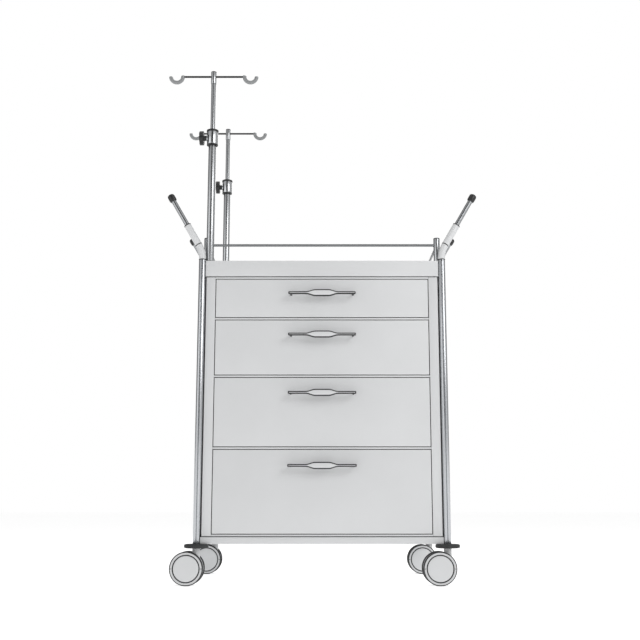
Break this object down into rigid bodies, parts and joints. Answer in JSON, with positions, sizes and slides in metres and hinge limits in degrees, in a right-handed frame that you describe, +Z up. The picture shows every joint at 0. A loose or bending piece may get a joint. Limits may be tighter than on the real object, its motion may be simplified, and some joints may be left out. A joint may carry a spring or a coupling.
{
  "type": "instrument cart",
  "caption": "Wheeled instrument cart with full-extension drawers, a worktop inside a low gallery rail, angled push handles and height-adjustable infusion poles.",
  "frame": {"origin": "on the floor under the middle of the cart", "axes": "+Z up, -Y towards the front where the drawers open, +X to the right as seen from the front"},
  "size_m": [0.9889, 0.574, 1.63],
  "materials": {
    "panel": "light grey powder coat",
    "drawer_front": "light grey moulded ABS",
    "drawer_box": "grey powder coat",
    "worktop": "light grey moulded ABS",
    "column": "satin anodised",
    "collar": "turned",
    "stainless": "brushed",
    "pull": "black moulded nylon with a light inlay",
    "steel": "zinc plated",
    "grey_plastic": "light grey moulded nylon",
    "black_plastic": "black moulded",
    "black_rubber": "black elastomer",
    "wheel": "light grey polyurethane tyre on a nylon hub"
  },
  "bodies": {
    "root": {"base_panel": "panel", "worktop": "worktop", "side_panel_left": "panel", "side_panel_right": "panel", "rear_panel": "panel", "front_stiles": "panel", "front_rails": "panel", "columns_front": "column", "columns_rear": "column", "caster_sockets": "steel", "caster_bumpers": "black_rubber", "handle_elbows": "grey_plastic", "handle_sleeves": "grey_plastic", "handle_rods": "column", "handle_caps": "black_plastic", "gallery_posts": "column", "gallery_rails": "stainless", "pole_sockets": "stainless", "pole_tubes": "stainless", "pole_collars": "collar", "slide_uprights": "steel", "slide_outer_members": "steel"},
    "drawer_1": {"drawer_1_front": "drawer_front", "drawer_1_pull": "pull", "drawer_1_box": "drawer_box", "drawer_1_slide_inner": "steel"},
    "drawer_1_middle": {"drawer_1_slide_middle": "steel"},
    "drawer_2": {"drawer_2_front": "drawer_front", "drawer_2_pull": "pull", "drawer_2_box": "drawer_box", "drawer_2_slide_inner": "steel"},
    "drawer_2_middle": {"drawer_2_slide_middle": "steel"},
    "drawer_3": {"drawer_3_front": "drawer_front", "drawer_3_pull": "pull", "drawer_3_box": "drawer_box", "drawer_3_slide_inner": "steel"},
    "drawer_3_middle": {"drawer_3_slide_middle": "steel"},
    "drawer_4": {"drawer_4_front": "drawer_front", "drawer_4_pull": "pull", "drawer_4_box": "drawer_box", "drawer_4_slide_inner": "steel"},
    "drawer_4_middle": {"drawer_4_slide_middle": "steel"},
    "caster_front_left": {"caster_front_left_housing": "grey_plastic"},
    "caster_front_left_wheel_a": {"caster_front_left_wheel_a": "wheel"},
    "caster_front_left_wheel_b": {"caster_front_left_wheel_b": "wheel"},
    "caster_front_right": {"caster_front_right_housing": "grey_plastic"},
    "caster_front_right_wheel_a": {"caster_front_right_wheel_a": "wheel"},
    "caster_front_right_wheel_b": {"caster_front_right_wheel_b": "wheel"},
    "caster_rear_left": {"caster_rear_left_housing": "grey_plastic"},
    "caster_rear_left_wheel_a": {"caster_rear_left_wheel_a": "wheel"},
    "caster_rear_left_wheel_b": {"caster_rear_left_wheel_b": "wheel"},
    "caster_rear_right": {"caster_rear_right_housing": "grey_plastic"},
    "caster_rear_right_wheel_a": {"caster_rear_right_wheel_a": "wheel"},
    "caster_rear_right_wheel_b": {"caster_rear_right_wheel_b": "wheel"},
    "pole_rod_front": {"pole_rod_front": "stainless"},
    "hook_head_front": {"hook_head_front": "stainless"},
    "clamp_knob_front": {"clamp_knob_front": "black_plastic"},
    "pole_rod_rear": {"pole_rod_rear": "stainless"},
    "hook_head_rear": {"hook_head_rear": "stainless"},
    "clamp_knob_rear": {"clamp_knob_rear": "black_plastic"}
  },
  "joints": [
    {"name": "drawer_1_slide", "type": "slide", "parent": "root", "child": "drawer_1", "axis": [0, -1, 0], "range_m": [0, 0.4]},
    {"name": "drawer_1_middle_slide", "type": "slide", "parent": "root", "child": "drawer_1_middle", "axis": [0, -1, 0], "range_m": [0, 0.2]},
    {"name": "drawer_2_slide", "type": "slide", "parent": "root", "child": "drawer_2", "axis": [0, -1, 0], "range_m": [0, 0.4]},
    {"name": "drawer_2_middle_slide", "type": "slide", "parent": "root", "child": "drawer_2_middle", "axis": [0, -1, 0], "range_m": [0, 0.2]},
    {"name": "drawer_3_slide", "type": "slide", "parent": "root", "child": "drawer_3", "axis": [0, -1, 0], "range_m": [0, 0.4]},
    {"name": "drawer_3_middle_slide", "type": "slide", "parent": "root", "child": "drawer_3_middle", "axis": [0, -1, 0], "range_m": [0, 0.2]},
    {"name": "drawer_4_slide", "type": "slide", "parent": "root", "child": "drawer_4", "axis": [0, -1, 0], "range_m": [0, 0.4]},
    {"name": "drawer_4_middle_slide", "type": "slide", "parent": "root", "child": "drawer_4_middle", "axis": [0, -1, 0], "range_m": [0, 0.2]},
    {"name": "caster_front_left_swivel", "type": "hinge", "parent": "root", "child": "caster_front_left", "pos_m": [-0.375, -0.25, 0.109], "axis": [0, 0, 1], "continuous": true},
    {"name": "caster_front_left_wheel_a_spin", "type": "hinge", "parent": "caster_front_left", "child": "caster_front_left_wheel_a", "pos_m": [-0.401, -0.25, 0.05], "axis": [0, 1, 0], "continuous": true},
    {"name": "caster_front_left_wheel_b_spin", "type": "hinge", "parent": "caster_front_left", "child": "caster_front_left_wheel_b", "pos_m": [-0.401, -0.25, 0.05], "axis": [0, 1, 0], "continuous": true},
    {"name": "caster_front_right_swivel", "type": "hinge", "parent": "root", "child": "caster_front_right", "pos_m": [0.375, -0.25, 0.109], "axis": [0, 0, 1], "continuous": true},
    {"name": "caster_front_right_wheel_a_spin", "type": "hinge", "parent": "caster_front_right", "child": "caster_front_right_wheel_a", "pos_m": [0.349, -0.25, 0.05], "axis": [0, 1, 0], "continuous": true},
    {"name": "caster_front_right_wheel_b_spin", "type": "hinge", "parent": "caster_front_right", "child": "caster_front_right_wheel_b", "pos_m": [0.349, -0.25, 0.05], "axis": [0, 1, 0], "continuous": true},
    {"name": "caster_rear_left_swivel", "type": "hinge", "parent": "root", "child": "caster_rear_left", "pos_m": [-0.375, 0.25, 0.109], "axis": [0, 0, 1], "continuous": true},
    {"name": "caster_rear_left_wheel_a_spin", "type": "hinge", "parent": "caster_rear_left", "child": "caster_rear_left_wheel_a", "pos_m": [-0.401, 0.25, 0.05], "axis": [0, 1, 0], "continuous": true},
    {"name": "caster_rear_left_wheel_b_spin", "type": "hinge", "parent": "caster_rear_left", "child": "caster_rear_left_wheel_b", "pos_m": [-0.401, 0.25, 0.05], "axis": [0, 1, 0], "continuous": true},
    {"name": "caster_rear_right_swivel", "type": "hinge", "parent": "root", "child": "caster_rear_right", "pos_m": [0.375, 0.25, 0.109], "axis": [0, 0, 1], "continuous": true},
    {"name": "caster_rear_right_wheel_a_spin", "type": "hinge", "parent": "caster_rear_right", "child": "caster_rear_right_wheel_a", "pos_m": [0.349, 0.25, 0.05], "axis": [0, 1, 0], "continuous": true},
    {"name": "caster_rear_right_wheel_b_spin", "type": "hinge", "parent": "caster_rear_right", "child": "caster_rear_right_wheel_b", "pos_m": [0.349, 0.25, 0.05], "axis": [0, 1, 0], "continuous": true},
    {"name": "pole_rod_front_slide", "type": "slide", "parent": "root", "child": "pole_rod_front", "axis": [0, 0, 1], "range_m": [-0.11, 0.28]},
    {"name": "hook_head_front_turn", "type": "hinge", "parent": "pole_rod_front", "child": "hook_head_front", "pos_m": [-0.353, -0.238, 1.598], "axis": [0, 0, 1], "continuous": true},
    {"name": "clamp_knob_front_turn", "type": "hinge", "parent": "root", "child": "clamp_knob_front", "pos_m": [-0.383, -0.238, 1.402], "axis": [-1, 0, 0], "range_deg": [0, 270]},
    {"name": "pole_rod_rear_slide", "type": "slide", "parent": "root", "child": "pole_rod_rear", "axis": [0, 0, 1], "range_m": [-0.11, 0.28]},
    {"name": "hook_head_rear_turn", "type": "hinge", "parent": "pole_rod_rear", "child": "hook_head_rear", "pos_m": [-0.353, 0.238, 1.598], "axis": [0, 0, 1], "continuous": true},
    {"name": "clamp_knob_rear_turn", "type": "hinge", "parent": "root", "child": "clamp_knob_rear", "pos_m": [-0.383, 0.238, 1.402], "axis": [-1, 0, 0], "range_deg": [0, 270]}
  ],
  "couplings": [
    {"joint": "drawer_1_middle_slide", "follows": "drawer_1_slide", "ratio": 0.5},
    {"joint": "drawer_2_middle_slide", "follows": "drawer_2_slide", "ratio": 0.5},
    {"joint": "drawer_3_middle_slide", "follows": "drawer_3_slide", "ratio": 0.5},
    {"joint": "drawer_4_middle_slide", "follows": "drawer_4_slide", "ratio": 0.5}
  ]
}
